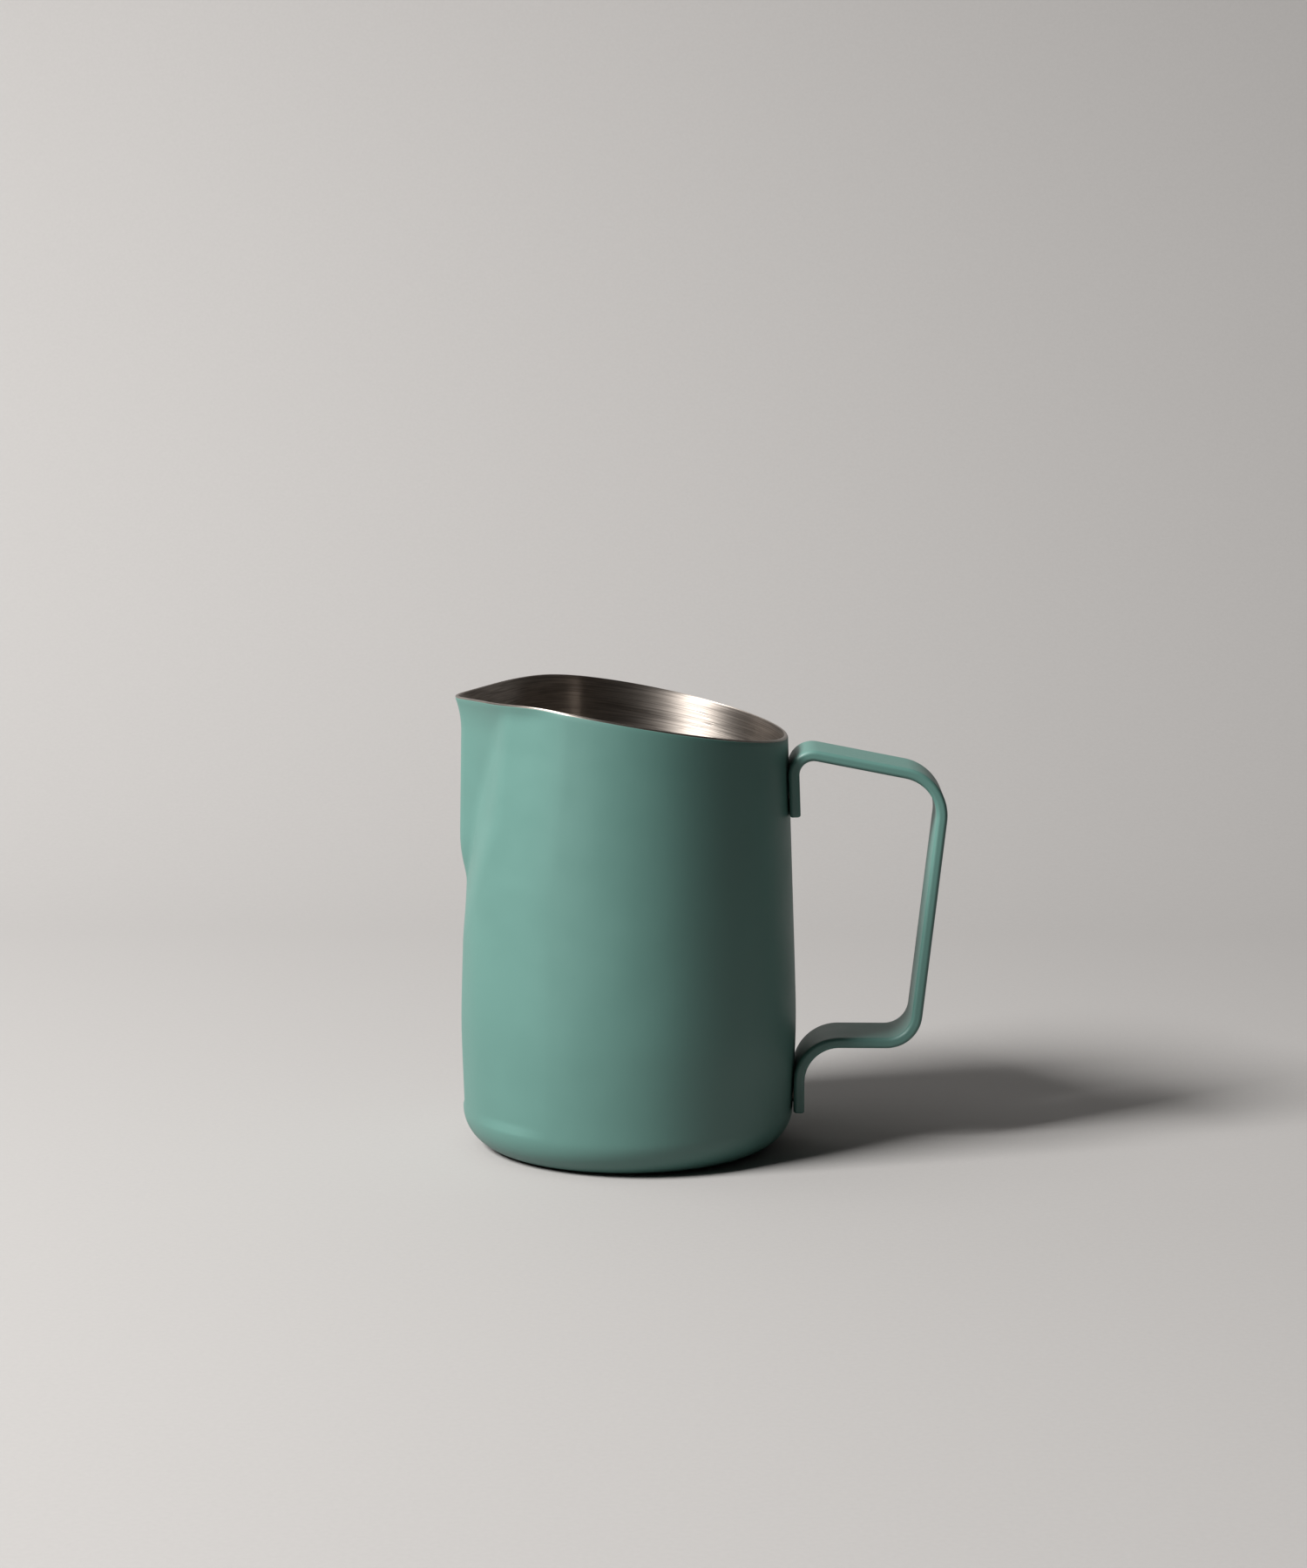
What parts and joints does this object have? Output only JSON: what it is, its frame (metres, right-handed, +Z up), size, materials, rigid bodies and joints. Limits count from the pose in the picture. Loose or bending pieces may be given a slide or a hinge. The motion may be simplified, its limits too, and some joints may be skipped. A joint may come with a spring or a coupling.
{
  "type": "milk frothing pitcher",
  "caption": "Open steel milk pitcher with a slanted rim, a pressed V-shaped pouring spout, an outer powder coating and a bent flat-bar handle.",
  "frame": {"origin": "centre of the flat underside that the pitcher stands on", "axes": "+Z up along the cup's axis, +X towards the handle, the spout towards -X"},
  "size_m": [0.1159, 0.0802, 0.1086],
  "materials": {
    "brushed_cup_steel": "circumferentially brushed inside, bare cut rim",
    "green_powder_coat": "satin powder coat, sage green",
    "green_painted_bar": "satin powder coat, sage green",
    "weld_steel": "as welded"
  },
  "bodies": {
    "root": {"vessel": "brushed_cup_steel", "vessel_coating": "green_powder_coat", "handle": "green_painted_bar", "upper_weld_nuggets": "weld_steel", "lower_weld_nuggets": "weld_steel"}
  },
  "joints": []
}
